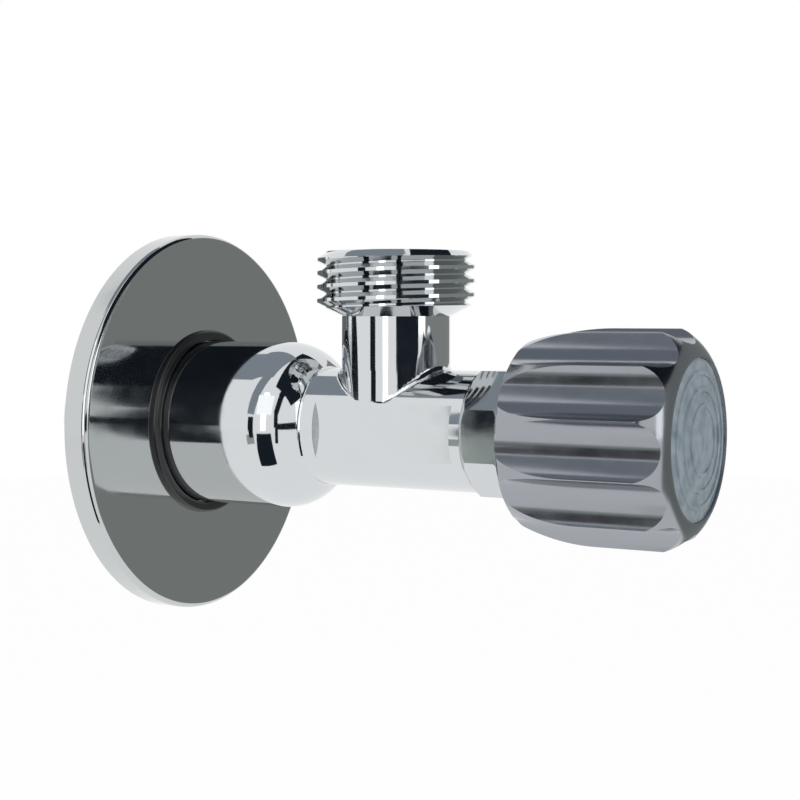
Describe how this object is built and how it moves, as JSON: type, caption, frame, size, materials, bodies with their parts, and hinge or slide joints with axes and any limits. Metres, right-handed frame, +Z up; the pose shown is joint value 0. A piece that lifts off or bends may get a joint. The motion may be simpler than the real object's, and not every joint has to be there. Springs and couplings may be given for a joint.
{
  "type": "angle valve",
  "caption": "Chromed angle valve with a wall thread, a sliding wall rosette, an upward outlet thread and a fluted knob that lifts a washer off its seat.",
  "frame": {"origin": "on the inlet axis in the wall plane, where the inlet thread ends and the collar begins", "axes": "+X out of the wall along the inlet, headwork and knob; +Z up along the outlet"},
  "size_m": [0.0916, 0.0528, 0.0528],
  "materials": {
    "chrome_body": "bright chrome on brass",
    "chrome_rosette": "bright chrome on steel sheet",
    "chrome_bonnet": "bright chrome on brass",
    "chrome_knob": "satin chrome on a casting",
    "black_rubber": "matte black rubber",
    "seal_rubber": "matte black rubber",
    "grey_fibre": "pressed fibre",
    "turned_brass": "turned brass",
    "screw_brass": "turned brass",
    "white_slip_plastic": "smooth white plastic",
    "clip_steel": "spring steel",
    "screw_steel": "plated steel",
    "cap_grey": "glossy blue-grey plastic"
  },
  "bodies": {
    "valve": {"valve_body": "chrome_body", "headwork_bonnet": "chrome_bonnet", "bonnet_gasket": "grey_fibre"},
    "handle": {"spindle": "turned_brass", "thrust_washer": "white_slip_plastic", "spindle_o_ring_rear": "seal_rubber", "spindle_o_ring_front": "seal_rubber", "retaining_clip": "clip_steel", "knob": "chrome_knob", "knob_screw": "screw_steel", "index_cap": "cap_grey"},
    "closer": {"piston": "turned_brass", "piston_o_ring": "seal_rubber", "seat_washer": "seal_rubber", "washer_screw": "screw_brass"},
    "rosette": {"wall_rosette": "chrome_rosette", "rosette_ring": "black_rubber"}
  },
  "joints": [
    {"name": "handle_turn", "type": "hinge", "parent": "valve", "child": "handle", "pos_m": [0.06, 0, 0], "axis": [1, 0, 0], "range_deg": [0, 720]},
    {"name": "piston_lift", "type": "slide", "parent": "valve", "child": "closer", "axis": [1, 0, 0], "range_m": [0, 0.003]},
    {"name": "rosette_slide", "type": "slide", "parent": "valve", "child": "rosette", "axis": [1, 0, 0], "range_m": [0, 0.009]}
  ],
  "couplings": [
    {"joint": "piston_lift", "follows": "handle_turn", "m_per_rad": 0.00023873}
  ]
}
